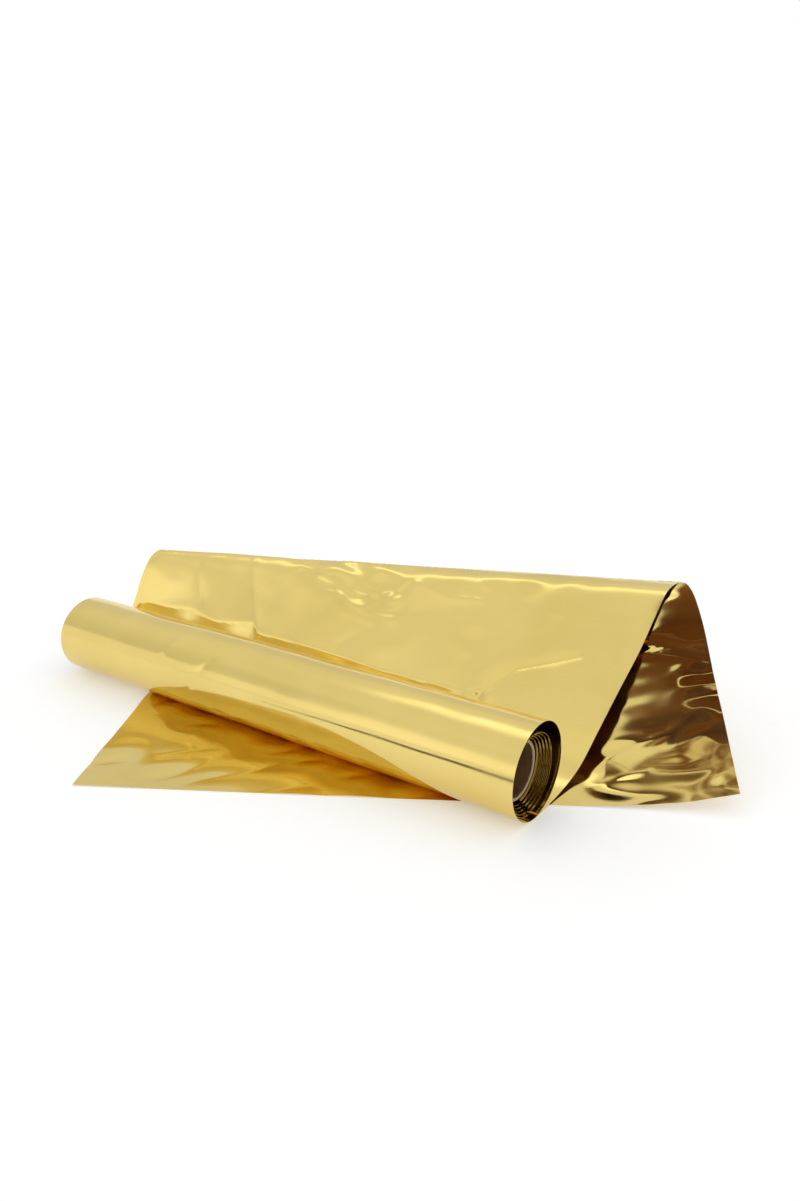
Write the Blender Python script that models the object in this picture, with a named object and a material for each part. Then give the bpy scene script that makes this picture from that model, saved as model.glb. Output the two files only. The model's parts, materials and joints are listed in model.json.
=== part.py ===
"""Part-used roll of gold sign vinyl, its loose tail looped back over the table behind it.

Metres, +Z up, +X along the roll's axis.  The film runs from its cut end along the table, up behind
the roll, over a soft ridge and down to the foot of the roll, and then winds onto the paper core.
"""
import math

import bmesh
import bpy
import numpy as np

# Film
FILM_WIDTH = 0.610
FILM = 0.0004
GAP = 0.0003

# Core of three paper plies
BORE = 0.0254
INNER_PLY = 0.0005
MIDDLE_PLY = 0.0009
OUTER_PLY = 0.0005
MIDDLE_RADIUS = BORE + INNER_PLY + GAP
OUTER_RADIUS = MIDDLE_RADIUS + MIDDLE_PLY + GAP
CORE_RADIUS = OUTER_RADIUS + OUTER_PLY
CORE_RECESS = 0.017

# Tape that fastens the film's first edge to the core
TAPE_WIDTH = 0.025
TAPE = 0.0003
TAPE_END_MARGIN = 0.012

# Inner turns, wound as one spiral of single turns about the core's axis
TURN_COUNT = 5
TURN_PITCH = 0.0019
TURN_START = CORE_RADIUS + GAP + TAPE + GAP + FILM
TURN_END = TURN_START + TURN_PITCH * TURN_COUNT
OUTERMOST_RECESS = 0.005
TURN_RECESS_STEP = 0.0024

# Roll: the loose outer turn is slack round the inner turns, and slacker at its right end
OUTER_SLACK = 0.0054
OUTER_TAPER = 0.0015
OUTER_LEFT = TURN_END + OUTER_SLACK
OUTER_RIGHT = OUTER_LEFT + OUTER_TAPER
OUTER_SHRINK = 0.0012
OUTER_END_DEG = 354.0
ROLL_FOOT = FILM + GAP + FILM / 2

# The inner turns rest on the loose turn's two layers at the foot, a little forward of the roll's foot
AXIS_Y = -0.0015
BED_CLEARANCE = 0.0012
AXIS_Z = ROLL_FOOT + FILM / 2 + OUTER_SHRINK + BED_CLEARANCE + TURN_END + FILM / 2

# Facets
FILM_COLUMNS = 16
TAIL_ROWS = 14
RAMP_ROWS = 12
RIDGE_ROWS = 16
STRAND_ROWS = 22
OUTER_TURN_COLUMNS = 4
TURN_COLUMNS = 1
TURN_STEPS = 64
TAPE_ROWS = 8
TUBE_STEPS = 64

# Height of the ridge over which the film folds back, and the width at which the edges are drawn
LOOP_HEIGHT = 0.147
EDGE_WIDTH = 0.610
WIDER = FILM_WIDTH / EDGE_WIDTH


def rise(x, y, share):
    """Station whose height is a share of the ridge's height."""
    return (x, y, share * LOOP_HEIGHT)


def round_roll(angle_deg, clearance):
    """Station on the left edge where the film wraps the lower back of the roll."""
    angle = math.radians(angle_deg)
    radius = OUTER_LEFT + clearance
    return (-EDGE_WIDTH, radius * math.sin(angle), ROLL_FOOT + OUTER_LEFT - radius * math.cos(angle))


# The film's two long edges, station by station, from the cut end to the foot of the roll, in metres
# from the roll's right-hand foot.  Paired stations are joined by a straight line of film.  The first
# three stations on the right lie on the edge's continuation beyond the cut end, which trims them.
LEFT_EDGE = (
    rise(-0.381, -0.201, 0.00),  # cut corner, flat on the table
    rise(-0.502, 0.000, 0.00),   # under the roll
    rise(-0.522, 0.034, 0.00),   # about to lift
    rise(-0.535, 0.056, 0.05),
    rise(-0.555, 0.086, 0.26),
    rise(-0.572, 0.108, 0.49),
    rise(-0.584, 0.119, 0.69),   # back of the ridge
    rise(-0.589, 0.116, 0.83),
    rise(-0.593, 0.102, 0.885),  # top of the ridge
    rise(-0.597, 0.088, 0.83),
    rise(-0.601, 0.076, 0.69),
    rise(-0.604, 0.065, 0.51),
    rise(-0.607, 0.054, 0.35),
    round_roll(72.0, 0.0038),
    round_roll(52.0, 0.0023),
    round_roll(28.5, 0.0008),
    round_roll(0.0, 0.0000),     # foot of the roll
)
RIGHT_EDGE = (
    rise(0.332, -0.202, 0.00),
    rise(0.210, 0.000, 0.00),
    rise(0.166, 0.073, 0.025),
    rise(0.142, 0.113, 0.13),    # raised cut corner
    rise(0.107, 0.165, 0.415),
    rise(0.083, 0.200, 0.61),
    rise(0.057, 0.237, 0.845),   # back of the ridge
    rise(0.032, 0.274, 0.973),
    rise(0.014, 0.292, 1.00),    # top of the ridge
    rise(0.010, 0.262, 0.985),
    rise(0.011, 0.230, 0.87),
    rise(0.012, 0.187, 0.68),
    rise(0.010, 0.146, 0.49),
    rise(0.007, 0.108, 0.285),
    rise(0.003, 0.080, 0.108),
    (0.000, 0.046, 0.0034),
    (0.000, 0.000, ROLL_FOOT),   # foot of the roll
)
CUT_CORNER = 3
RIDGE_TOP = 8
FOOT = len(LEFT_EDGE) - 1

# Stations at which the film's four stretches meet, and the share of a station left open between them
LIFT = 4.0
RIDGE_START = 6.4
RIDGE_FINISH = 9.8
SEAM = 0.024

# Where the roll's right-hand foot lies, so that the part's box is centred over the origin
ROLL_END_X = (FILM_WIDTH + CORE_RECESS - RIGHT_EDGE[CUT_CORNER][0] * WIDER) / 2
ROLL_END_Y = -(LEFT_EDGE[0][1] + RIGHT_EDGE[RIDGE_TOP][1]) / 2


def material(name, colour, roughness, metallic):
    made = bpy.data.materials.new(name)
    made.use_nodes = True
    shader = made.node_tree.nodes["Principled BSDF"]
    shader.inputs["Base Color"].default_value = (*colour, 1.0)
    shader.inputs["Roughness"].default_value = roughness
    shader.inputs["Metallic"].default_value = metallic
    return made


def place(name, mesh, surface, location=(0.0, 0.0, 0.0)):
    """Make a named object from a bmesh, with the roll's right-hand foot as its frame."""
    data = bpy.data.meshes.new(name)
    mesh.to_mesh(data)
    mesh.free()
    data.materials.append(surface)
    data.shade_smooth()
    data.set_sharp_from_angle(angle=math.radians(40.0))
    item = bpy.data.objects.new(name, data)
    item.location = (ROLL_END_X + location[0], ROLL_END_Y + location[1], location[2])
    bpy.context.collection.objects.link(item)
    return item


def along(stations, where):
    """Point on a smooth curve through the stations, where 2.5 is halfway from the third to the fourth."""
    first = min(int(where), len(stations) - 2)
    part = where - first
    here = np.array(stations[first])
    there = np.array(stations[first + 1])
    before = np.array(stations[first - 1]) if first else 2 * here - there
    after = np.array(stations[first + 2]) if first + 2 < len(stations) else 2 * there - here
    leave = (there - before) / 2
    arrive = (after - here) / 2
    point = (here * (2 * part**3 - 3 * part**2 + 1) + leave * (part**3 - 2 * part**2 + part)
             + there * (3 * part**2 - 2 * part**3) + arrive * (part**3 - part**2))
    point[2] = max(point[2], 0.0)
    return point


def ruling(where, across):
    """Point on the film: across is 0 at its left edge and 1 at its right edge."""
    point = along(LEFT_EDGE, where) * (1 - across) + along(RIGHT_EDGE, where) * across
    point[0] *= WIDER
    point[2] = max(point[2], FILM / 2 if where < RIDGE_TOP else ROLL_FOOT)
    return point


def cut_station(across):
    """Station at which the straight cut end crosses one column of the film, seen from above."""
    left = ruling(0.0, 0.0)[:2]
    right = ruling(float(CUT_CORNER), 1.0)[:2]
    cut = right - left
    low = 0.0
    high = float(CUT_CORNER)
    for _ in range(30):
        middle = (low + high) / 2
        step = ruling(middle, across)[:2] - left
        beyond = cut[0] * step[1] - cut[1] * step[0] > 0
        low, high = (low, middle) if beyond else (middle, high)
    return high


def thin_sheet(rows, columns, point, thickness=FILM):
    """Grid bent by a rule and thickened to a closed sheet, half on each side of the rule."""
    mesh = bmesh.new()
    bmesh.ops.create_grid(mesh, x_segments=columns, y_segments=rows, size=0.5)
    for vertex in mesh.verts:
        vertex.co = point(vertex.co.y + 0.5, vertex.co.x + 0.5)
    mesh.normal_update()
    below = [vertex.co - vertex.normal * thickness / 2 for vertex in mesh.verts]
    for vertex, spot in zip(mesh.verts, below):
        vertex.co = spot
    mesh.normal_update()
    bmesh.ops.solidify(mesh, geom=mesh.faces[:], thickness=-thickness)
    bmesh.ops.recalc_face_normals(mesh, faces=mesh.faces[:])
    return mesh


def film_tail(surface):
    """Tail from its cut end, flat on the table and under the roll, to where it leaves the table."""
    def point(along_film, across):
        start = cut_station(across)
        return ruling(start + (LIFT - start) * along_film, across)

    place("film_tail", thin_sheet(TAIL_ROWS, FILM_COLUMNS, point), surface)


def film_stretch(name, start, finish, rows, surface):
    """Stretch of the loop between two stations, leaving a seam open before it."""
    def point(along_film, across):
        return ruling(start + SEAM + (finish - start - SEAM) * along_film, across)

    place(name, thin_sheet(rows, FILM_COLUMNS, point), surface)


def film_loop(surface):
    """Ramp behind the roll, ridge, and front strand down to the roll's foot."""
    film_stretch("film_ramp", LIFT, RIDGE_START, RAMP_ROWS, surface)
    film_stretch("film_ridge", RIDGE_START, RIDGE_FINISH, RIDGE_ROWS, surface)
    film_stretch("film_front_strand", RIDGE_FINISH, FOOT, STRAND_ROWS, surface)


def film_outer_turn(surface):
    """Loose outermost turn: foot, front, top, back, and just inside its own start."""
    first = GAP / OUTER_RIGHT
    last = math.radians(OUTER_END_DEG)

    def point(along_film, across):
        turn = first + (last - first) * along_film
        start = OUTER_LEFT + (OUTER_RIGHT - OUTER_LEFT) * across
        radius = start - OUTER_SHRINK * along_film
        return (-FILM_WIDTH * (1 - across), -radius * math.sin(turn),
                ROLL_FOOT + start - radius * math.cos(turn))

    place("film_outer_turn", thin_sheet(TURN_STEPS, OUTER_TURN_COLUMNS, point), surface)


def film_turns(surface):
    """Single turns of the wound film, innermost first, each drawn in further than the next one out."""
    for number in range(1, TURN_COUNT + 1):
        recess = OUTERMOST_RECESS + TURN_RECESS_STEP * (TURN_COUNT - number)
        inside = TURN_START + TURN_PITCH * (number - 1)
        seam = GAP / inside

        def point(along_film, across):
            turn = seam + (2 * math.pi - seam) * (1 - along_film)
            radius = inside + TURN_PITCH * (1 - along_film)
            return (-FILM_WIDTH * (1 - across), -radius * math.sin(turn), -radius * math.cos(turn))

        mesh = thin_sheet(TURN_STEPS, TURN_COLUMNS, point)
        place(f"film_turn_{number}", mesh, surface, (-recess, AXIS_Y, AXIS_Z))


def tube(inner, outer, length):
    """Tube along X, its right end at x = 0."""
    mesh = bmesh.new()
    corners = ((0.0, inner), (0.0, outer), (-length, outer), (-length, inner))
    verts = [mesh.verts.new((x, 0.0, radius)) for x, radius in corners]
    edges = [mesh.edges.new((verts[k], verts[(k + 1) % 4])) for k in range(4)]
    bmesh.ops.spin(mesh, geom=verts + edges, cent=(0, 0, 0), axis=(1, 0, 0), angle=2 * math.pi,
                   steps=TUBE_STEPS, use_merge=True)
    bmesh.ops.remove_doubles(mesh, verts=mesh.verts[:], dist=1e-6)
    bmesh.ops.recalc_face_normals(mesh, faces=mesh.faces[:])
    return mesh


def core(surface, liner):
    """Three paper plies, one inside the other."""
    where = (-CORE_RECESS, AXIS_Y, AXIS_Z)
    place("core_inner_ply", tube(BORE, BORE + INNER_PLY, FILM_WIDTH), liner, where)
    place("core_middle_ply", tube(MIDDLE_RADIUS, MIDDLE_RADIUS + MIDDLE_PLY, FILM_WIDTH), surface, where)
    place("core_outer_ply", tube(OUTER_RADIUS, CORE_RADIUS, FILM_WIDTH), surface, where)


def start_tape(surface):
    """Strip along the core under the first turn's starting edge."""
    radius = CORE_RADIUS + GAP + TAPE / 2
    spread = TAPE_WIDTH / radius

    def point(along_film, across):
        turn = spread * (0.5 - along_film)
        length = FILM_WIDTH - 2 * TAPE_END_MARGIN
        return (-TAPE_END_MARGIN - length * (1 - across), -radius * math.sin(turn),
                -radius * math.cos(turn))

    mesh = thin_sheet(TAPE_ROWS, TURN_COLUMNS, point, TAPE)
    place("start_tape", mesh, surface, (-CORE_RECESS, AXIS_Y, AXIS_Z))


def build():
    for item in list(bpy.data.objects):
        bpy.data.objects.remove(item)
    gold = material("gold_film", (0.78, 0.62, 0.20), 0.15, 1.0)
    paper = material("core_paper", (0.30, 0.21, 0.12), 0.9, 0.0)
    liner = material("core_liner", (0.22, 0.15, 0.08), 0.9, 0.0)
    tape = material("tape", (0.85, 0.80, 0.62), 0.4, 0.0)
    film_tail(gold)
    film_loop(gold)
    film_outer_turn(gold)
    film_turns(gold)
    core(paper, liner)
    start_tape(tape)


build()
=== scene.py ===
"""Roll of mirror-gold sign film on a paper core, its loose tail looped back behind it.

Metres, +Z up.  Film places are worked out from the roll's right-hand foot, where the loose outer
turn's right end meets the table: x runs along the roll, y away from it and z up.
"""
import json
import math

import bmesh
import bpy
import numpy as np
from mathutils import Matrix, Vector


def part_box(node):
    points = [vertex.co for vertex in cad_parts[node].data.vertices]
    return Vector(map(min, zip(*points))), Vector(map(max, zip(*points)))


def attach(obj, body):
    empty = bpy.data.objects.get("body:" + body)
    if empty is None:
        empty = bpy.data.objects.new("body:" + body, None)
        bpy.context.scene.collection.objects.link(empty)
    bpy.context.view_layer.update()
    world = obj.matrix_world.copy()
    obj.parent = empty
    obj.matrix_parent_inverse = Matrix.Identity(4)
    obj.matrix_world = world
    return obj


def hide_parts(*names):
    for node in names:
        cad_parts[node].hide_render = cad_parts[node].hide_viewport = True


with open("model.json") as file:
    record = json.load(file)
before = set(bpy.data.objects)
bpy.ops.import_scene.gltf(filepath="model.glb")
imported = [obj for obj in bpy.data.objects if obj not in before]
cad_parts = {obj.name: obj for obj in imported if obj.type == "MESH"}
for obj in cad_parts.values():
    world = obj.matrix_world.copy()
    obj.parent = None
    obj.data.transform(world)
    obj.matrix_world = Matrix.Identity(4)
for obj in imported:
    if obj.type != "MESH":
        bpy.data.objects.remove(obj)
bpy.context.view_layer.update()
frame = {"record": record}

# ---------------------------------------------------------------- sizes from the frame

# The film's thickness in the frame, the gap between pieces there, and the film's thickness here.
FILM = 0.0004
GAP = 0.0003
SHOWN_FILM = 0.0003
# Height of the film's middle where it lies on the film below it.
FOOT_HEIGHT = FILM + GAP + FILM / 2

JOINTS = {joint["name"]: joint for joint in frame["record"]["behaviour"]["joints"]}
SPIN_AXIS = Vector(JOINTS["roll_spin"]["pos_m"])
LOOSE_LOW, LOOSE_HIGH = (Vector(corner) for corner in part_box("film_outer_turn"))
LOOP_HIGH = Vector(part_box("film_ridge")[1])
CORE_LOW, CORE_HIGH = (Vector(corner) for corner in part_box("core_outer_ply"))

WIDTH = LOOSE_HIGH.x - LOOSE_LOW.x
# Length of the film from its cut end to the foot of the roll, and of the loose outer turn.
FREE_LENGTH = 0.60

# The loose turn's foot lies this far behind the spin axis.
FOOT_BACK = 0.0015
FOOT = Vector((LOOSE_HIGH.x, SPIN_AXIS.y + FOOT_BACK, 0.0))
RIDGE = LOOP_HIGH.z - FILM / 2

# How much the loose turn tightens in one turn, how much smaller it is at its left end, and its radius
# at its right and left ends.
OUTER_SHRINK = 0.0012
OUTER_TAPER = 0.0015
OUTER_RIGHT = (LOOSE_HIGH.z - FOOT_HEIGHT - FILM / 2 + OUTER_SHRINK / 2) / 2
OUTER_LEFT = OUTER_RIGHT - OUTER_TAPER


def in_part(points):
    """Places measured from the roll's foot, in the part's own frame."""
    return np.asarray(points) + np.array(FOOT)


# ---------------------------------------------------------------- nodes

def maths(tree, operation, *values):
    """Output of a Math node fed with numbers or other outputs."""
    node = tree.nodes.new("ShaderNodeMath")
    node.operation = operation
    for socket, value in zip(node.inputs, values):
        if isinstance(value, (int, float)):
            socket.default_value = value
        else:
            tree.links.new(value, socket)
    return node.outputs[0]


def ease(tree, value, low, high, start=0.0, end=1.0):
    """Smooth change from start to end while value goes from low to high."""
    node = tree.nodes.new("ShaderNodeMapRange")
    node.interpolation_type = "SMOOTHSTEP"
    tree.links.new(value, node.inputs["Value"])
    for socket, number in zip(node.inputs[1:5], (low, high, start, end)):
        socket.default_value = number
    return node.outputs[0]


def plain(name, colour, roughness):
    """Material of one colour and roughness."""
    made = bpy.data.materials.new(name)
    made.use_nodes = True
    shader = made.node_tree.nodes["Principled BSDF"]
    shader.inputs["Base Color"].default_value = (*colour, 1.0)
    shader.inputs["Roughness"].default_value = roughness
    return made


def feed(tree, socket, output):
    """Link an output to one of the material's own inputs."""
    tree.links.new(output, tree.nodes["Principled BSDF"].inputs[socket])


def glowing(surface, colour, strength):
    """Give a material a light of its own."""
    shader = surface.node_tree.nodes["Principled BSDF"]
    shader.inputs["Emission Color"].default_value = (*colour, 1.0)
    shader.inputs["Emission Strength"].default_value = strength


def noise(tree, scale, detail=3.0, stretch=(1.0, 1.0, 1.0)):
    """Noise on the piece's own coordinates, finer along an axis with a larger stretch."""
    where = tree.nodes.new("ShaderNodeTexCoord")
    shift = tree.nodes.new("ShaderNodeMapping")
    shift.inputs["Scale"].default_value = stretch
    texture = tree.nodes.new("ShaderNodeTexNoise")
    texture.inputs["Scale"].default_value = scale
    texture.inputs["Detail"].default_value = detail
    tree.links.new(where.outputs["Object"], shift.inputs["Vector"])
    tree.links.new(shift.outputs["Vector"], texture.inputs["Vector"])
    return texture.outputs["Fac"]


def shades(tree, value, dark, light, low=0.35, high=0.65):
    """Colour from dark to light as value goes from low to high."""
    ramp = tree.nodes.new("ShaderNodeValToRGB")
    ramp.color_ramp.elements[0].position = low
    ramp.color_ramp.elements[0].color = (*dark, 1.0)
    ramp.color_ramp.elements[1].position = high
    ramp.color_ramp.elements[1].color = (*light, 1.0)
    tree.links.new(value, ramp.inputs["Fac"])
    return ramp.outputs["Color"]


def uneven_gloss(tree, scale, smooth, rough):
    """Let the roughness wander between smooth and rough over the surface."""
    feed(tree, "Roughness", ease(tree, noise(tree, scale), low=0.3, high=0.7, start=smooth, end=rough))


def bump(tree, height, distance, strength=1.0):
    """Fine relief, distance deep where the height is 1."""
    node = tree.nodes.new("ShaderNodeBump")
    node.inputs["Strength"].default_value = strength
    node.inputs["Distance"].default_value = distance
    tree.links.new(height, node.inputs["Height"])
    feed(tree, "Normal", node.outputs["Normal"])


# ---------------------------------------------------------------- camera and light

CAMERA_PLACE = (0.3234, -0.6587, 0.4379)
CAMERA_HEADING = (-0.581, 0.814)
CAMERA_DIP_DEG = 18.07


def camera():
    """Camera before the roll and to its right, looking a little down."""
    data = bpy.data.cameras.new("camera")
    data.sensor_width = 36.0
    data.lens = 28.07
    item = bpy.data.objects.new("camera", data)
    item.location = in_part(CAMERA_PLACE)
    forward = Vector((*CAMERA_HEADING, -math.tan(math.radians(CAMERA_DIP_DEG))))
    item.rotation_euler = forward.to_track_quat("-Z", "Y").to_euler()
    bpy.context.collection.objects.link(item)
    bpy.context.scene.camera = item


# Brightness of the tent's front wall and of the rest of it, each (degrees above the table, brightness).
FRONT_LEVELS = ((-10.0, 0.95), (-1.5, 0.95), (2.5, 0.97), (8.0, 1.20), (21.0, 1.18), (29.0, 0.93), (40.0, 0.90),
                (50.0, 0.98), (80.0, 0.94))
BACK_LEVELS = ((-10.0, 1.0), (16.5, 1.0), (20.0, 0.76), (32.0, 0.80), (42.0, 0.90), (55.0, 0.90), (80.0, 0.90))
LOWEST_DEG = -10.0
LEVELS_SPAN_DEG = 100.0

# The front wall's middle, in degrees left of straight before the roll, and where to each side it fades.
FRONT_BEARING = 5.0
FRONT_FADE = (26.0, 46.0)

# Strip light: its height and its bearing to the left, in degrees, the brightness that its core and its
# halo add, and how many degrees off it each of them fades, and its ends.
STRIP_ELEVATION = 60.0
STRIP_BEARING = 130.0
STRIP_LIGHT = 0.55
STRIP_GLOW = 0.15
STRIP_LIGHT_FADE = (0.8, 8.0)
STRIP_GLOW_FADE = (2.0, 14.0)
STRIP_END_FADE = (14.0, 52.0)


def levels(tree, elevation, stops):
    """Brightness of the tent by elevation, from pairs of degrees and brightness."""
    ramp = tree.nodes.new("ShaderNodeValToRGB")
    above_lowest = maths(tree, "ADD", elevation, -LOWEST_DEG)
    tree.links.new(maths(tree, "DIVIDE", above_lowest, LEVELS_SPAN_DEG), ramp.inputs["Fac"])
    strip = ramp.color_ramp
    while len(strip.elements) < len(stops):
        strip.elements.new(0.5)
    for element, (degrees, bright) in zip(strip.elements, stops):
        element.position = (degrees - LOWEST_DEG) / LEVELS_SPAN_DEG
        element.color = (bright, bright, bright, 1.0)
    return ramp.outputs["Color"]


def strip_light(tree, elevation, bearing):
    """Brightness that the strip light adds, with a soft halo and soft ends."""
    off_strip = maths(tree, "ABSOLUTE", maths(tree, "SUBTRACT", elevation, STRIP_ELEVATION))
    core = ease(tree, off_strip, *STRIP_LIGHT_FADE, STRIP_LIGHT, 0.0)
    halo = ease(tree, off_strip, *STRIP_GLOW_FADE, STRIP_GLOW, 0.0)
    off_middle = maths(tree, "ABSOLUTE", maths(tree, "ADD", bearing, STRIP_BEARING))
    along_strip = ease(tree, off_middle, *STRIP_END_FADE, 1.0, 0.0)
    return maths(tree, "MULTIPLY", maths(tree, "ADD", core, halo), along_strip)


def studio():
    """White tent with a bright front wall, a dimmer band at the back, and a strip light over the left."""
    world = bpy.data.worlds.new("tent")
    world.use_nodes = True
    bpy.context.scene.world = world
    tree = world.node_tree
    tree.nodes.clear()
    where = tree.nodes.new("ShaderNodeTexCoord")
    split = tree.nodes.new("ShaderNodeSeparateXYZ")
    tree.links.new(where.outputs["Generated"], split.inputs[0])
    x, y, z = split.outputs
    elevation = maths(tree, "DEGREES", maths(tree, "ARCSINE", z))
    bearing = maths(tree, "DEGREES", maths(tree, "ARCTAN2", x, maths(tree, "MULTIPLY", y, -1.0)))
    off_front = maths(tree, "ABSOLUTE", maths(tree, "ADD", bearing, FRONT_BEARING))
    mix = tree.nodes.new("ShaderNodeMixRGB")
    tree.links.new(ease(tree, off_front, *FRONT_FADE, 1.0, 0.0), mix.inputs["Fac"])
    tree.links.new(levels(tree, elevation, BACK_LEVELS), mix.inputs["Color1"])
    tree.links.new(levels(tree, elevation, FRONT_LEVELS), mix.inputs["Color2"])
    glow = tree.nodes.new("ShaderNodeBackground")
    tree.links.new(maths(tree, "ADD", strip_light(tree, elevation, bearing), 1.0), glow.inputs["Strength"])
    tree.links.new(mix.outputs["Color"], glow.inputs["Color"])
    out = tree.nodes.new("ShaderNodeOutputWorld")
    tree.links.new(glow.outputs[0], out.inputs[0])


# ---------------------------------------------------------------- making pieces

# Edges sharper than this are kept crisp: the rim of the film's thickness.
RIM_ANGLE_DEG = 50.0


def finish_piece(name, mesh, surface):
    """Object from a finished bmesh, shaded smooth."""
    data = bpy.data.meshes.new(name)
    mesh.to_mesh(data)
    mesh.free()
    data.materials.append(surface)
    data.shade_smooth()
    item = bpy.data.objects.new(name, data)
    bpy.context.collection.objects.link(item)
    return item


def film_piece(name, rows, columns, places, surface):
    """Sheet whose grid of places goes row by row along the film, left edge to right edge."""
    mesh = bmesh.new()
    layer = mesh.loops.layers.uv.new("film")
    bmesh.ops.create_grid(mesh, x_segments=columns, y_segments=rows, size=0.5, calc_uvs=True)
    for face in mesh.faces:
        for loop in face.loops:
            spot = loop.vert.co
            loop[layer].uv = (spot.x + 0.5, spot.y + 0.5)
    for vertex in mesh.verts:
        row = round((vertex.co.y + 0.5) * rows)
        column = round((vertex.co.x + 0.5) * columns)
        vertex.co = places[row, column]
    item = finish_piece(name, mesh, surface)
    skin = item.modifiers.new("thickness", "SOLIDIFY")
    skin.thickness = SHOWN_FILM
    skin.offset = 0.0
    rim = item.modifiers.new("crisp_rim", "EDGE_SPLIT")
    rim.split_angle = math.radians(RIM_ANGLE_DEG)
    rim.use_edge_sharp = False
    return item


# ---------------------------------------------------------------- table, mat and cards

TABLE_REACH = 8.0
TABLE_GLOW = 0.24

# Left near corner and right far corner of the dark mat before the roll, and its height.
MAT_CORNERS = ((-0.60, -3.0), (1.4, -0.38))
MAT_HEIGHT = 0.001

# Cards of painted shade: brown and streaked sheets in and by the loop's open end, shown only in the film's
# reflections, that darken the inside of the loop in place of its own shade.
# Two ends of the cards' foot line on the table, by the loop's open end.  A card's corners are its
# places along that line, 0 to 1 between the two ends, its distances back from the line, and its heights.
CARD_FOOT = ((0.0, 0.106), (0.165, 0.166))
ROOF = 0.23
WALL_CARD = ((0.01, 0.0, 0.075), (0.55, 0.0, 0.070), (0.72, 0.0, 0.040), (0.72, 0.0, 0.60), (-0.60, 0.0, 0.60),
             (-0.42, 0.0, 0.40))
ROOF_CARD = ((-0.07, 0.0, ROOF), (0.70, 0.0, ROOF), (0.70, 0.034, ROOF), (-0.05, 0.060, ROOF))
BACK_ROOF_CARD = ((-0.03, 0.068, ROOF), (0.70, 0.042, ROOF), (0.70, 0.34, ROOF), (-0.18, 0.34, ROOF),
                  (-0.04, 0.20, ROOF))
FRONT_ROOF_CARD = ((0.08, -0.25, ROOF), (0.85, -0.25, ROOF), (0.85, -0.002, ROOF), (0.08, -0.002, ROOF))
FACING_CARD = ((0.01, -0.003, 0.078), (1.0, -0.003, 0.078), (1.0, -0.003, 0.60), (-0.60, -0.003, 0.60),
               (-0.42, -0.003, 0.40))

# Glowing card inside the loop, painted light: its place across the film, its clearance from the film above and
# below it and before and behind it, and how many strips it has.
GLOW_ACROSS = 0.90
GLOW_END_GAP = 0.012
GLOW_SIDE_GAP = 0.003
GLOW_STRIPS = 12


def only_mirrored(item):
    """Card that shows in the film's reflections and nowhere else: the dark mat, the cards of painted shade and
    the painted glow.
    """
    item.visible_camera = False
    item.visible_diffuse = False
    item.visible_shadow = False


def table():
    """Broad white table, with a dark mat before the roll that only the film's reflections show."""
    mesh = bmesh.new()
    bmesh.ops.create_grid(mesh, x_segments=1, y_segments=1, size=TABLE_REACH)
    surface = plain("table_white", (0.86, 0.86, 0.86), 0.7)
    glowing(surface, (1.0, 1.0, 1.0), TABLE_GLOW)
    finish_piece("table", mesh, surface)
    mat = bmesh.new()
    (left, near), (right, far) = MAT_CORNERS
    corners = ((left, near), (right, near), (right, far), (left, far))
    mat.faces.new([mat.verts.new(in_part((x, y, MAT_HEIGHT))) for x, y in corners])
    only_mirrored(finish_piece("mat", mat, plain("mat_dark", (0.16, 0.14, 0.12), 0.9)))


def card(name, outline, surface):
    """Flat card of painted shade by the loop's open end, which the film reflects and the camera misses."""
    start, end = (np.array(corner) for corner in CARD_FOOT)
    mesh = bmesh.new()
    corners = []
    for share, back, height in outline:
        spot = start + (end - start) * share
        corners.append(mesh.verts.new(in_part((spot[0], spot[1] + back, height))))
    mesh.faces.new(corners)
    only_mirrored(finish_piece(name, mesh, surface))


def painted_shade_board():
    """Brown card of painted shade, with broad lighter bands."""
    made = plain("painted_shade_brown", (0.12, 0.05, 0.014), 0.9)
    tree = made.node_tree
    bands = noise(tree, 9.0, 2.0, (0.4, 0.4, 1.0))
    # Painted shade: dark brown to lighter brown bands, which the film mirrors inside the loop.
    feed(tree, "Base Color", shades(tree, bands, (0.080, 0.015, 0.001), (0.34, 0.130, 0.022), 0.38, 0.70))
    return made


def painted_shade_patches():
    """White card with brown patches of painted shade."""
    made = plain("painted_shade_white", (0.8, 0.8, 0.8), 0.8)
    tree = made.node_tree
    shade_patches = noise(tree, 8.0, 2.0, (1.0, 1.0, 0.5))
    # Painted shade: brown patches on white, which the film mirrors as the mottled lower inside of the loop.
    feed(tree, "Base Color", shades(tree, shade_patches, (0.16, 0.080, 0.02), (0.95, 0.92, 0.86), 0.46, 0.60))
    return made


def painted_shade_streaks():
    """Card in narrow streaks of brown painted shade and cream."""
    made = plain("painted_shade_cream", (0.5, 0.3, 0.1), 0.9)
    tree = made.node_tree
    streaks = noise(tree, 26.0, 2.0, (0.45, 1.0, 1.0))
    # Painted shade: brown streaks between cream ones, which the film mirrors inside the loop.
    feed(tree, "Base Color", shades(tree, streaks, (0.20, 0.085, 0.018), (0.86, 0.80, 0.70), 0.42, 0.62))
    return made


def painted_shade_cards():
    """Cards of painted shade that give the inside of the loop something dark to mirror in place of its own
    shade: brown wall and roofs, a white facing.
    """
    brown = painted_shade_board()
    card("flag_wall", WALL_CARD, brown)
    card("flag_roof", ROOF_CARD, brown)
    card("flag_roof_back", BACK_ROOF_CARD, brown)
    card("flag_facing", FACING_CARD, painted_shade_patches())
    card("flag_roof_front", FRONT_ROOF_CARD, painted_shade_streaks())


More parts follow.
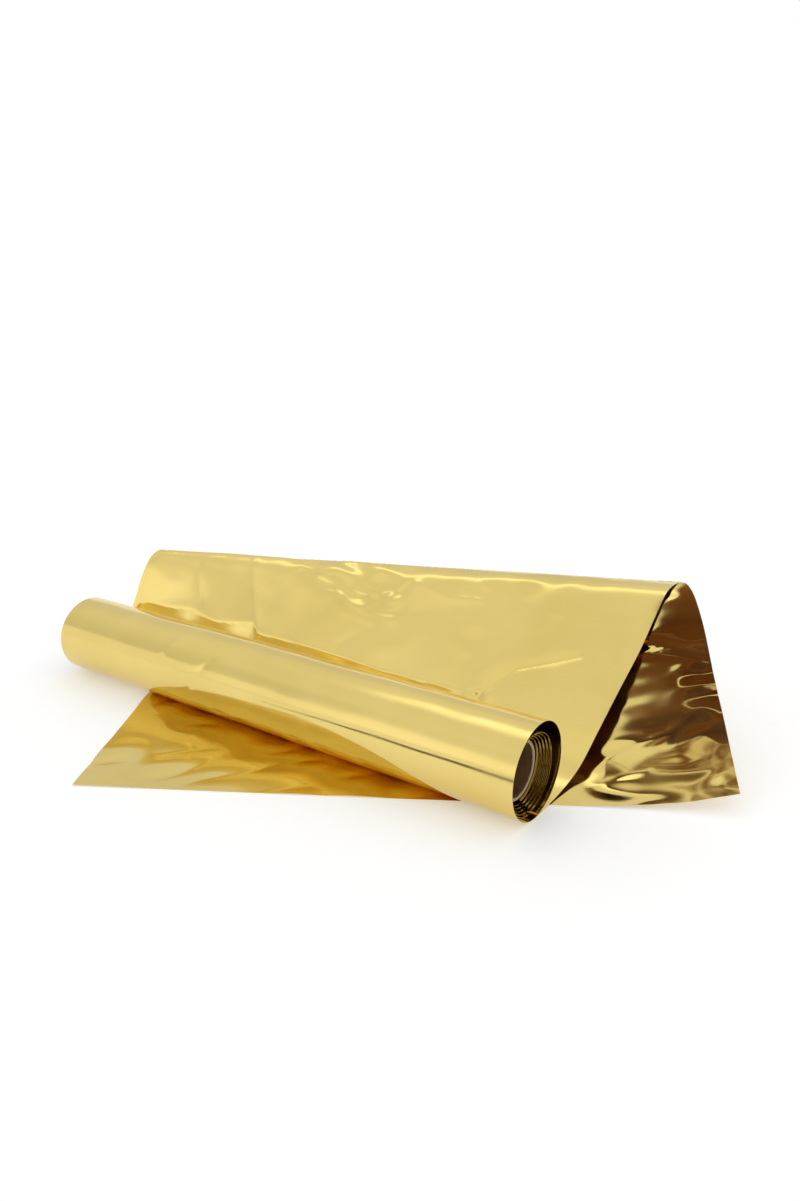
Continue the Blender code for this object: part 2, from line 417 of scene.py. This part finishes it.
def loop_glow(places):
    """Faint glowing brown card across the inside of the loop, where the film only mirrors itself many times
    over: painted light in place of those reflections.
    """
    column = places[:, round(places.shape[1] * GLOW_ACROSS)]
    top = column[:, 2].argmax()
    heights = np.linspace(GLOW_END_GAP, column[top, 2] - GLOW_END_GAP, GLOW_STRIPS)
    back = np.interp(heights, column[:top, 2], column[:top, 1]) - GLOW_SIDE_GAP
    front = np.interp(heights, column[:top:-1, 2], column[:top:-1, 1]) + GLOW_SIDE_GAP
    mesh = bmesh.new()
    pairs = []
    for height, near, far in zip(heights, front, back):
        pairs.append([mesh.verts.new(in_part((column[top, 0], y, height))) for y in (near, far)])
    for below, above in zip(pairs[:-1], pairs[1:]):
        mesh.faces.new((*below, *reversed(above)))
    # Painted light: a faint brown glow that the film mirrors in place of its own many reflections.
    surface = plain("loop_glow", (0.02, 0.01, 0.004), 1.0)
    glowing(surface, (1.0, 0.50, 0.14), 0.10)
    only_mirrored(finish_piece("loop_glow", mesh, surface))


# ---------------------------------------------------------------- materials

# Pale colour at the core's cut ends, partly the cut board's own colour and partly a painted highlight where the
# rim catches the light.
CUT_BOARD_AND_HIGHLIGHT = (0.50, 0.40, 0.27)
# How ragged the cut at the core's ends is, and how far its pale colour reaches in.
FRAY = 0.0016
CUT_SOFT = 0.0004


def gold_film(name="gold_film", ripple=0.00012):
    """Metallised film, bright on both faces, with the fine unevenness of thin polyester."""
    made = plain(name, (0.80, 0.62, 0.20), 0.12)
    tree = made.node_tree
    tree.nodes["Principled BSDF"].inputs["Metallic"].default_value = 1.0
    feed(tree, "Base Color", shades(tree, noise(tree, 9.0), (0.765, 0.590, 0.185), (0.815, 0.635, 0.215)))
    uneven_gloss(tree, 28.0, 0.07, 0.16)
    coarse = noise(tree, 24.0, 2.0, (0.45, 1.0, 1.0))
    fine = maths(tree, "MULTIPLY", noise(tree, 120.0), 0.12)
    bump(tree, maths(tree, "ADD", coarse, fine), ripple)
    return made


def paper(name, dark, light, roughness=0.85):
    """Brown core board: mottled pulp with fibres wound around it, pale at its cut ends, partly its own colour
    and partly a painted highlight.
    """
    made = plain(name, light, roughness)
    tree = made.node_tree
    pulp = noise(tree, 140.0, 5.0, (1.0, 0.35, 0.35))
    where = tree.nodes.new("ShaderNodeTexCoord")
    split = tree.nodes.new("ShaderNodeSeparateXYZ")
    tree.links.new(where.outputs["Object"], split.inputs[0])
    middle = (CORE_LOW.x + CORE_HIGH.x) / 2
    half = (CORE_HIGH.x - CORE_LOW.x) / 2
    from_middle = maths(tree, "ABSOLUTE", maths(tree, "SUBTRACT", split.outputs["X"], middle))
    frayed = maths(tree, "ADD", from_middle, maths(tree, "MULTIPLY", noise(tree, 260.0), FRAY))
    # Pale band at the core's ends: the cut board's own lighter colour and a painted highlight on the rim.
    mix = tree.nodes.new("ShaderNodeMixRGB")
    tree.links.new(ease(tree, frayed, half - CUT_SOFT, half + CUT_SOFT), mix.inputs["Fac"])
    tree.links.new(shades(tree, pulp, dark, light), mix.inputs["Color1"])
    mix.inputs["Color2"].default_value = (*CUT_BOARD_AND_HIGHLIGHT, 1.0)
    feed(tree, "Base Color", mix.outputs["Color"])
    uneven_gloss(tree, 60.0, roughness - 0.1, roughness + 0.1)
    bump(tree, noise(tree, 400.0, 4.0, (1.0, 0.4, 0.4)), 0.0002, 0.6)
    return made


def sticky_tape():
    """Clear-brown packing tape with a faint cloudiness."""
    made = plain("start_tape", (0.52, 0.40, 0.24), 0.35)
    tree = made.node_tree
    feed(tree, "Base Color", shades(tree, noise(tree, 50.0), (0.45, 0.33, 0.18), (0.60, 0.48, 0.30)))
    uneven_gloss(tree, 90.0, 0.25, 0.45)
    bump(tree, noise(tree, 200.0), 0.0001, 0.5)
    return made


# ---------------------------------------------------------------- shape of the film

def rise(x, y, share):
    """Station whose height is a share of the ridge's height."""
    return (x, y, share * RIDGE)


def round_roll(angle_deg, clearance):
    """Station on the left edge where the film wraps the lower back of the roll."""
    angle = math.radians(angle_deg)
    radius = OUTER_LEFT + clearance
    return (-WIDTH, radius * math.sin(angle), FOOT_HEIGHT + OUTER_LEFT - radius * math.cos(angle))


# The film's two long edges, from the cut end to the foot of the roll.  Paired stations are joined by
# a straight line of film, and the first three on the right lie beyond the cut end, which trims them.
LEFT_EDGE = np.array((
    rise(-0.381, -0.201, 0.00),
    rise(-0.502, 0.000, 0.00),
    rise(-0.522, 0.034, 0.00),
    rise(-0.535, 0.056, 0.05),
    rise(-0.555, 0.086, 0.26),
    rise(-0.572, 0.108, 0.49),
    rise(-0.584, 0.119, 0.69),
    rise(-0.589, 0.116, 0.83),
    rise(-0.593, 0.102, 0.885),
    rise(-0.597, 0.088, 0.83),
    rise(-0.601, 0.076, 0.69),
    rise(-0.604, 0.065, 0.51),
    rise(-0.607, 0.054, 0.35),
    round_roll(72.0, 0.0038),
    round_roll(52.0, 0.0023),
    round_roll(28.5, 0.0008),
    round_roll(0.0, 0.0000),
))
RIGHT_EDGE = np.array((
    rise(0.332, -0.202, 0.00),
    rise(0.210, 0.000, 0.00),
    rise(0.166, 0.073, 0.025),
    rise(0.142, 0.113, 0.13),
    rise(0.107, 0.165, 0.415),
    rise(0.083, 0.200, 0.61),
    rise(0.057, 0.237, 0.845),
    rise(0.032, 0.274, 0.973),
    rise(0.014, 0.292, 1.00),
    rise(0.010, 0.262, 0.985),
    rise(0.011, 0.230, 0.87),
    rise(0.012, 0.187, 0.68),
    rise(0.010, 0.146, 0.49),
    rise(0.007, 0.108, 0.285),
    rise(0.003, 0.080, 0.108),
    (0.000, 0.046, 0.0034),
    (0.000, 0.000, FOOT_HEIGHT),
))
CUT_CORNER = 3
RIDGE_TOP = 8
LAST = len(LEFT_EDGE) - 1
# Halvings when looking for the cut end, and how much finer than the grid a column is measured.
CUT_STEPS = 30
FINER = 6


def along(stations, where):
    """Points on the smooth curve through the stations; 2.5 is halfway from the third to the fourth."""
    padded = np.vstack((2 * stations[0] - stations[1], stations, 2 * stations[-1] - stations[-2]))
    first = np.minimum(where.astype(int), LAST - 1)
    part = (where - first)[..., None]
    before, here, there, after = (padded[first + step] for step in range(4))
    leave = (there - before) / 2
    arrive = (after - here) / 2
    points = (here * (2 * part**3 - 3 * part**2 + 1) + leave * (part**3 - 2 * part**2 + part)
              + there * (3 * part**2 - 2 * part**3) + arrive * (part**3 - part**2))
    points[..., 2] = np.maximum(points[..., 2], 0.0)
    return points


def ruling(where, across):
    """Points on the film: across is 0 at its left edge and 1 at its right edge."""
    share = across[..., None]
    points = along(LEFT_EDGE, where) * (1 - share) + along(RIGHT_EDGE, where) * share
    lowest = np.where(where < RIDGE_TOP, FILM / 2, FOOT_HEIGHT)
    points[..., 2] = np.maximum(points[..., 2], lowest)
    return points


def cut_stations(across):
    """Station at which the straight cut end crosses each column of the film, seen from above."""
    left = LEFT_EDGE[0, :2]
    cut = RIGHT_EDGE[CUT_CORNER, :2] - left
    low = np.zeros_like(across)
    high = np.full_like(across, CUT_CORNER)
    for _ in range(CUT_STEPS):
        middle = (low + high) / 2
        step = ruling(middle, across)[..., :2] - left
        beyond = cut[0] * step[..., 1] - cut[1] * step[..., 0] > 0
        low, high = np.where(beyond, low, middle), np.where(beyond, middle, high)
    return high


def film_columns(rows, columns):
    """Smooth film, cut end to foot, as rows of points that each stand equally far along their column."""
    across = np.linspace(0, 1, columns + 1)
    share = np.linspace(0, 1, FINER * rows + 1)[:, None]
    start = cut_stations(across)[None, :]
    where = start + (LAST - start) * share
    points = ruling(where, np.broadcast_to(across, where.shape))
    made = np.empty((rows + 1, columns + 1, 3))
    for column in range(columns + 1):
        line = points[:, column]
        run = np.concatenate(([0.0], np.cumsum(np.linalg.norm(np.diff(line, axis=0), axis=1))))
        wanted = np.linspace(0, run[-1], rows + 1)
        for axis in range(3):
            made[:, column, axis] = np.interp(wanted, run, line[:, axis])
    return made


# ---------------------------------------------------------------- wrinkles

def inward(places):
    """Unit directions across the film, to the inside of the loop or the roll."""
    run = np.gradient(places, axis=0)
    over = np.gradient(places, axis=1)
    square = np.cross(over, run)
    return square / np.linalg.norm(square, axis=2)[..., None]


def waves(run, over, seed, count, shortest, longest, spread, height):
    """Gentle unevenness: waves of many lengths, whose headings stray from along the film by the spread."""
    chance = np.random.default_rng(seed)
    total = np.zeros_like(run)
    for _ in range(count):
        length = math.exp(chance.uniform(math.log(shortest), math.log(longest)))
        heading = chance.normal(0.0, spread)
        phase = chance.uniform(0.0, 2 * math.pi)
        step = 2 * math.pi / length
        total += length / longest * np.sin(step * (run * math.cos(heading) + over * math.sin(heading)) + phase)
    return height * total / math.sqrt(count / 2)


def crease(run, over, corners, height, width):
    """Fold line through the corners, each (distance along the film, distance across it)."""
    nearest = np.full_like(run, 1.0)
    for (run_a, over_a), (run_b, over_b) in zip(corners[:-1], corners[1:]):
        leg = np.array((run_b - run_a, over_b - over_a))
        share = ((run - run_a) * leg[0] + (over - over_a) * leg[1]) / (leg @ leg)
        share = np.clip(share, 0.0, 1.0)
        off_leg = np.hypot(run - run_a - share * leg[0], over - over_a - share * leg[1])
        nearest = np.minimum(nearest, off_leg)
    return height * np.exp(-nearest / width)


# Raised rim of a dint: its height as a share of the depth, its place in sizes, and its breadth.
RIM_HEIGHT = 0.35
RIM_PLACE = 1.6
RIM_BREADTH = 0.35


def dent(run, over, middle, size, depth):
    """Oval dint with a soft raised rim."""
    reach = np.hypot((run - middle[0]) / size[0], (over - middle[1]) / size[1])
    return depth * (np.exp(-reach**2) - RIM_HEIGHT * np.exp(-(reach - RIM_PLACE)**2 / RIM_BREADTH))


def marks(run, over, creases, dents=()):
    """All the fold lines and dints of one stretch of film."""
    total = np.zeros_like(run)
    for corners, height, width in creases:
        total += crease(run, over, corners, height, width)
    for middle, size, depth in dents:
        total += dent(run, over, middle, size, depth)
    return total


def patch(value, low, high, soft):
    """1 between low and high, easing to 0 over the soft distance outside them."""
    inside = np.clip((value - low) / soft + 1.0, 0.0, 1.0) * np.clip((high - value) / soft + 1.0, 0.0, 1.0)
    return inside * inside * (3 - 2 * inside)


# Fold lines of the front strand, from the ridge down: (corners along and across the film, height, width).
STRAND_CREASES = (
    (((0.480, 0.478), (0.455, 0.492), (0.437, 0.503), (0.420, 0.530), (0.403, 0.556)), 0.0019, 0.0045),
    (((0.403, 0.205), (0.410, 0.250), (0.410, 0.290), (0.404, 0.331), (0.372, 0.345)), 0.0021, 0.0050),
    (((0.372, 0.345), (0.380, 0.390), (0.372, 0.430)), -0.0018, 0.0060),
    (((0.433, 0.069), (0.478, 0.094)), 0.0012, 0.0060),
    (((0.405, 0.135), (0.450, 0.165), (0.485, 0.186)), -0.0011, 0.0060),
    (((0.412, 0.262), (0.430, 0.300), (0.426, 0.345)), -0.0016, 0.0050),
    (((0.440, 0.330), (0.470, 0.300)), 0.0010, 0.0060),
    (((0.358, 0.110), (0.376, 0.165), (0.395, 0.222)), 0.0018, 0.0080),
    (((0.352, 0.420), (0.362, 0.500), (0.358, 0.560)), -0.0010, 0.0070),
)
# Its dints: (middle, size along and across the film, depth).
STRAND_DENTS = (
    ((0.412, 0.290), (0.008, 0.012), 0.0024),
    ((0.405, 0.331), (0.008, 0.010), -0.0022),
    ((0.481, 0.479), (0.007, 0.007), 0.0022),
    ((0.385, 0.300), (0.012, 0.026), 0.0024),
    ((0.392, 0.235), (0.012, 0.030), -0.0024),
    ((0.376, 0.268), (0.009, 0.018), 0.0018),
)
# Where the strand bends down behind the roll: distance along the film for each distance across it.
BEND_LINE = np.array((
    (0.000, 0.504), (0.050, 0.498), (0.085, 0.490), (0.125, 0.494), (0.182, 0.480), (0.192, 0.490),
    (0.240, 0.486), (0.300, 0.484), (0.360, 0.485), (0.420, 0.480), (0.482, 0.476), (0.610, 0.490),
))
# How far past that line the bend is fullest, and its depth at the left edge and gain towards the right.
BEND_REACH = 0.040
BEND_DEPTH = 0.0032
BEND_GAIN = 0.0085
# Share of the broad waves that the strand loses near its right edge.
RIGHT_CALM = 0.8

# Ramp seen through the open end of the loop: its fold lines, and the dints along its right edge.
RAMP_CREASES = (
    (((0.184, 0.530), (0.168, 0.580), (0.150, 0.612)), -0.0024, 0.0050),
    (((0.172, 0.540), (0.158, 0.575), (0.141, 0.612)), 0.0020, 0.0045),
    (((0.060, 0.500), (0.075, 0.560), (0.100, 0.600)), 0.0014, 0.0100),
    (((0.030, 0.480), (0.045, 0.540), (0.040, 0.590)), -0.0014, 0.0100),
)
RAMP_DENTS = (
    ((0.132, 0.604), (0.009, 0.018), -0.0024),
    ((0.106, 0.604), (0.009, 0.020), -0.0022),
    ((0.052, 0.603), (0.011, 0.022), -0.0024),
    ((0.012, 0.604), (0.009, 0.018), -0.0020),
)
# How far the ramp's right edge bends back where it is dinted, and the strip that bends.
EDGE_CURL = 0.0032
CURL_START = 0.572
CURL_BREADTH = 0.038

# Fold lines of the loose turn, in metres around the roll from its foot and across it.
TURN_CREASES = (
    (((0.055, 0.215), (0.075, 0.222), (0.105, 0.246)), -0.0010, 0.004),
    (((0.100, 0.176), (0.118, 0.186)), 0.0008, 0.004),
    (((0.040, 0.250), (0.052, 0.300)), 0.0008, 0.005),
)


def strand_wrinkles(run, over):
    """Front strand: broad waves, a lively middle, folds and dints, and the bend behind the roll."""
    total = waves(run, over, seed=4, count=9, shortest=0.040, longest=0.160, spread=0.9, height=0.0008)
    total *= 1 - RIGHT_CALM * patch(over, low=0.56, high=WIDTH, soft=0.06)
    lively = patch(run, low=0.30, high=0.43, soft=0.05) * patch(over, low=0.0, high=0.52, soft=0.06)
    total += lively * waves(run, over, seed=11, count=8, shortest=0.026, longest=0.070, spread=0.8,
                            height=0.00042)
    total += marks(run, over, STRAND_CREASES, STRAND_DENTS)
    past = np.maximum(run - np.interp(over, BEND_LINE[:, 0], BEND_LINE[:, 1]), 0.0) / BEND_REACH
    fade = patch(over, low=0.0, high=0.44, soft=0.07)
    total += fade * (BEND_DEPTH + BEND_GAIN * over) * past * np.exp(1 - past)
    return total


def ramp_wrinkles(run, over):
    """Ramp: broad waves, finer ones by the loop's open end, and its folds and dints."""
    total = waves(run, over, seed=21, count=8, shortest=0.060, longest=0.180, spread=0.6, height=0.0005)
    open_end = patch(over, low=0.45, high=0.62, soft=0.06)
    total += open_end * waves(run, over, seed=31, count=9, shortest=0.018, longest=0.050, spread=0.16,
                              height=0.00024)
    near_cut = open_end * patch(run, low=0.0, high=0.070, soft=0.03)
    total += near_cut * waves(run, over, seed=61, count=7, shortest=0.025, longest=0.060, spread=0.5,
                              height=0.0008)
    total += marks(run, over, RAMP_CREASES, RAMP_DENTS)
    return total


def edge_curl(run, over):
    """The ramp's right edge, bent back along its dinted stretch."""
    curled = patch(run, low=0.10, high=0.15, soft=0.02)
    return EDGE_CURL * curled * np.clip((over - CURL_START) / CURL_BREADTH, 0.0, 1.0)**2


def tail_streaks(run, over):
    """Creases of the tail that lies on the table, all of them upwards."""
    return np.abs(waves(run, over, seed=41, count=7, shortest=0.030, longest=0.110, spread=0.8, height=0.0009))


def turn_wrinkles(run, over):
    """Unevenness of the outermost turn."""
    total = waves(run, over, seed=51, count=9, shortest=0.050, longest=0.220, spread=1.2, height=0.00038)
    total += marks(run, over, TURN_CREASES)
    return total


# ---------------------------------------------------------------- film

LOOP_GRID = 219
LOOSE_GRID = 200
WOUND_ROWS = 120
WOUND_COLUMNS = 40

# Over what distance the ramp's wrinkles give way to the strand's at the ridge, and wrinkles die out
# towards the foot, towards the long edges, and towards the loose turn's two ends.
RIDGE_BLEND = 0.02
FOOT_CALM = 0.06
EDGE_CALM = 0.012
TURN_CALM = 0.03
# Share of the wrinkles that is left at the long edges.
EDGE_SHARE = 0.35
# Height over which the tail leaves the table.
LYING = 0.006

# How far round the loose turn goes before it meets its own start.
LOOSE_TURN_DEG = 354.0
# Distance between wound turns.
PITCH = 0.0019


def film_loop(surface):
    """Loose film from its cut end, up the ramp, over the ridge and down the strand to the roll's foot."""
    rows, columns = LOOP_GRID, LOOP_GRID
    places = film_columns(rows, columns)
    run = np.linspace(0, FREE_LENGTH, rows + 1)[:, None] + np.zeros((1, columns + 1))
    over = np.linspace(0, WIDTH, columns + 1)[None, :] + np.zeros((rows + 1, 1))
    top = run[places[..., 2].argmax(axis=0), 0][None, :]
    down = np.clip((run - top) / RIDGE_BLEND + 0.5, 0.0, 1.0)
    push = down * strand_wrinkles(run, over) + (1 - down) * ramp_wrinkles(run, over)
    push *= np.clip((FREE_LENGTH - run) / FOOT_CALM, 0.0, 1.0)
    off_edge = np.clip(np.minimum(over, WIDTH - over) / EDGE_CALM, 0.0, 1.0)
    push *= EDGE_SHARE + (1 - EDGE_SHARE) * off_edge
    push -= edge_curl(run, over)
    lying = np.clip(1.0 - places[..., 2] / LYING, 0.0, 1.0) * (down < 0.5)
    push = (1 - lying) * push + lying * tail_streaks(run, over)
    places = places + push[..., None] * inward(places)
    places[..., 2] = np.maximum(places[..., 2], FILM / 2)
    item = film_piece("film_loop", rows, columns, in_part(places), surface)
    loop_glow(places)
    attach(item, "sheet")
    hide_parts("film_tail", "film_ramp", "film_ridge", "film_front_strand")


def loose_turn(surface):
    """Loose outermost turn: foot, front, top, back, and just inside its own start."""
    rows, columns = LOOSE_GRID, LOOSE_GRID
    share = np.linspace(0, 1, rows + 1)[:, None]
    across = np.linspace(0, 1, columns + 1)[None, :]
    turn = np.radians(LOOSE_TURN_DEG) * share
    start = OUTER_LEFT + (OUTER_RIGHT - OUTER_LEFT) * across
    radius = start - OUTER_SHRINK * share
    places = np.stack((-WIDTH * (1 - across) + 0 * share, -radius * np.sin(turn),
                       FOOT_HEIGHT + start - radius * np.cos(turn)), axis=-1)
    run = turn * OUTER_RIGHT + 0 * across
    over = WIDTH * across + 0 * share
    free = np.clip(run / TURN_CALM, 0.0, 1.0) * np.clip((run[-1, 0] - run) / TURN_CALM, 0.0, 1.0)
    places = places + (free * turn_wrinkles(run, over))[..., None] * inward(places)
    item = film_piece("film_loose_turn", rows, columns, in_part(places), surface)
    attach(item, "sheet")
    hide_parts("film_outer_turn")


def wound_turn(number, surface):
    """One inner turn, on the spiral about the core's axis."""
    node = f"film_turn_{number}"
    low, high = (Vector(corner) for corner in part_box(node))
    outside = SPIN_AXIS.z - low.z - FILM / 2
    share = np.linspace(0, 1, WOUND_ROWS + 1)[:, None]
    across = np.linspace(0, 1, WOUND_COLUMNS + 1)[None, :]
    radius = outside - PITCH * share
    turn = 2 * np.pi * share
    places = np.stack((low.x + (high.x - low.x) * across + 0 * share,
                       SPIN_AXIS.y - radius * np.sin(turn) + 0 * across,
                       SPIN_AXIS.z - radius * np.cos(turn) + 0 * across), axis=-1)
    item = film_piece(f"film_wound_turn_{number}", WOUND_ROWS, WOUND_COLUMNS, places, surface)
    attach(item, "core" if number == 1 else f"turn_{number}")
    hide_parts(node)


def dress(node, surface):
    """New material for a piece that keeps its own shape."""
    item = bpy.data.objects[node]
    for place in item.material_slots:
        place.material = surface


def main():
    bpy.context.scene.view_settings.view_transform = "Standard"
    bpy.context.scene.cycles.glossy_bounces = 10
    camera()
    studio()
    table()
    painted_shade_cards()
    gold = gold_film()
    film_loop(gold)
    loose_turn(gold)
    wound = gold_film("gold_film_wound", 0.00008)
    for number in range(1, 6):
        wound_turn(number, wound)
    board = paper("core_board", (0.10, 0.055, 0.024), (0.16, 0.095, 0.045))
    dress("core_outer_ply", board)
    dress("core_middle_ply", board)
    liner = paper("core_liner", (0.110, 0.050, 0.014), (0.165, 0.080, 0.026))
    dress("core_inner_ply", liner)
    dress("start_tape", sticky_tape())


main()
